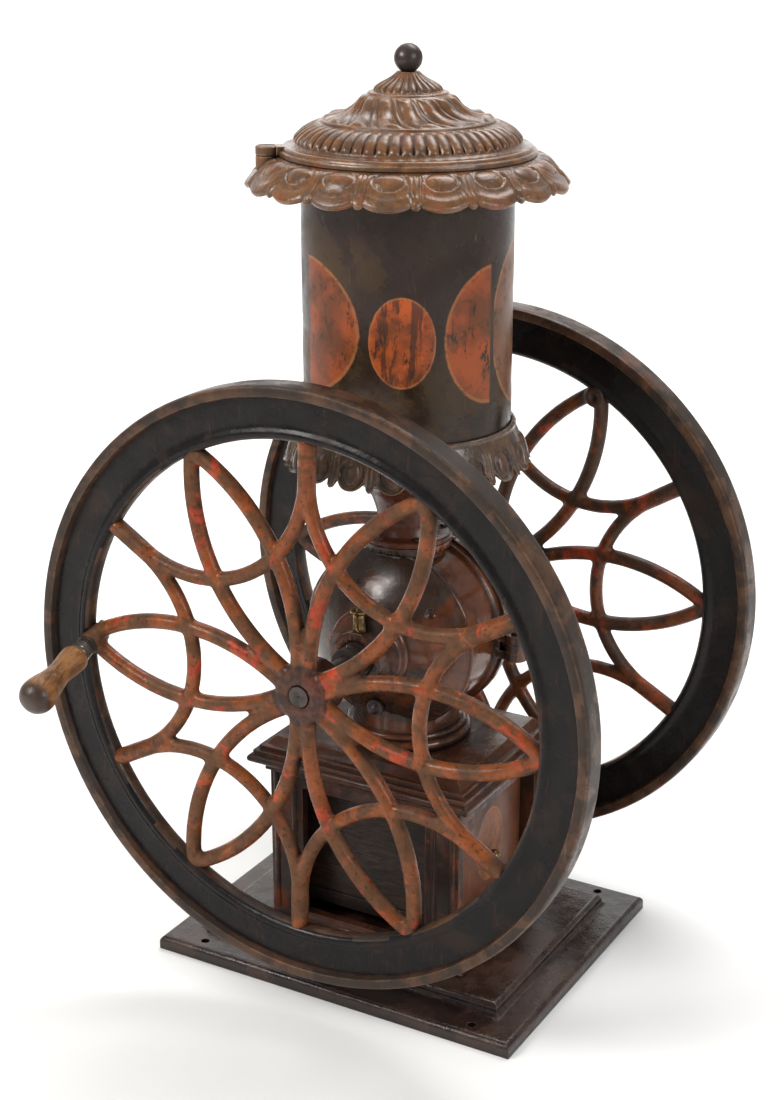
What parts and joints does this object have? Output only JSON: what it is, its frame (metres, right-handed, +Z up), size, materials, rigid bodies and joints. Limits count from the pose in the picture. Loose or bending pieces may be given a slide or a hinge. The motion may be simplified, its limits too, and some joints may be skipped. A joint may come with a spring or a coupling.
{
  "type": "coffee mill",
  "caption": "Free-standing cast-iron counter coffee mill with traceried hand wheels, a scalloped hopper with a swinging lid, and a grounds drawer in its pedestal",
  "frame": {"origin": "Middle of the base plate's underside, straight below the middle of the shaft", "axes": "+Z up; the shaft and wheel axle lies along Y, with the crank wheel at -Y; the drawer pulls out towards +X"},
  "size_m": [0.61, 0.5222, 0.9477],
  "materials": {
    "black_paint": "old thick black-brown enamel on cast iron, worn at the edges",
    "box_paint": "dark red-brown enamel on cast iron",
    "cornice_paint": "grey-brown worn enamel on cast iron",
    "case_paint": "red-brown enamel, patched dark, glossy",
    "crank_wheel_paint": "orange-red enamel with rust and dark wear",
    "plain_wheel_paint": "brown-red enamel with rust and dark wear",
    "copper_paint": "copper-brown bronze paint on cast iron, worn",
    "throat_paint": "dark red-brown enamel",
    "olive_sheet": "dark olive-brown varnish on tinned sheet, worn through in places",
    "ochre_panel": "old ochre paint on wood, scuffed",
    "tray_wood": "dark oiled softwood",
    "bare_steel": "dull oiled steel",
    "dark_iron": "dark bare iron with a film of oil",
    "bronze": "bearing bronze",
    "oil_brass": "tarnished brass",
    "grip_wood": "hand-polished yellow-brown hardwood, dark at the end",
    "ferrule_metal": "grey worn steel"
  },
  "bodies": {
    "mill": {"base_plate": "black_paint", "pedestal_frame": "box_paint", "tie_bolts": "bare_steel", "cornice": "cornice_paint", "drawer_runners": "dark_iron", "case_body": "case_paint", "case_cover": "case_paint", "cover_hinge_pin": "bare_steel", "cover_clamp_screw": "bare_steel", "foot_bolts": "bare_steel", "inspection_plug": "oil_brass", "rear_bush": "bronze", "front_oil_cup": "oil_brass", "rear_oil_cup": "oil_brass", "fixed_burr": "dark_iron", "fixed_burr_screws": "bare_steel", "throat": "throat_paint", "throat_bolts": "bare_steel", "lower_collar": "copper_paint", "hopper_shell": "olive_sheet", "shell_screws": "oil_brass", "crown": "copper_paint", "lid_pivot_screw": "bare_steel"},
    "regulator": {"regulator_nut": "dark_iron"},
    "thrust_sleeve": {"front_bush": "bronze"},
    "rotor": {"main_shaft": "bare_steel", "shaft_collar": "bare_steel", "feed_worm": "dark_iron", "turning_burr": "dark_iron", "burr_drive_pin": "bare_steel", "crank_wheel": "crank_wheel_paint", "plain_wheel": "plain_wheel_paint", "hub_set_screws": "bare_steel", "grip_spindle": "bare_steel", "spindle_nut": "bare_steel", "spindle_washers": "bare_steel"},
    "grip": {"grip_ferrule": "ferrule_metal", "crank_grip": "grip_wood"},
    "lid_swing": {"lid": "copper_paint", "finial": "dark_iron", "finial_nut": "bare_steel"},
    "drawer": {"drawer_tray": "tray_wood", "drawer_front": "ochre_panel", "drawer_knob": "oil_brass"}
  },
  "joints": [
    {"name": "regulator_turn", "type": "hinge", "parent": "mill", "child": "regulator", "pos_m": [0, -0.1, 0.358], "axis": [0, -1, 0], "range_deg": [-90, 90]},
    {"name": "thrust_slide", "type": "slide", "parent": "mill", "child": "thrust_sleeve", "axis": [0, -1, 0], "range_m": [-0.0005, 0.0005]},
    {"name": "rotor_spin", "type": "hinge", "parent": "thrust_sleeve", "child": "rotor", "pos_m": [0, 0, 0.358], "axis": [0, -1, 0], "continuous": true},
    {"name": "grip_spin", "type": "hinge", "parent": "rotor", "child": "grip", "pos_m": [-0.24885, -0.202, 0.36669], "axis": [-0.0108, -0.9511, -0.3088], "continuous": true},
    {"name": "lid_turn", "type": "hinge", "parent": "mill", "child": "lid_swing", "pos_m": [-0.11059, -0.07743, 0.846], "axis": [0, 0, 1], "range_deg": [0, 120]},
    {"name": "drawer_slide", "type": "slide", "parent": "mill", "child": "drawer", "axis": [1, 0, 0], "range_m": [0, 0.14]}
  ],
  "couplings": [
    {"joint": "regulator_turn", "follows": "thrust_slide", "rad_per_m": 3141.6}
  ]
}
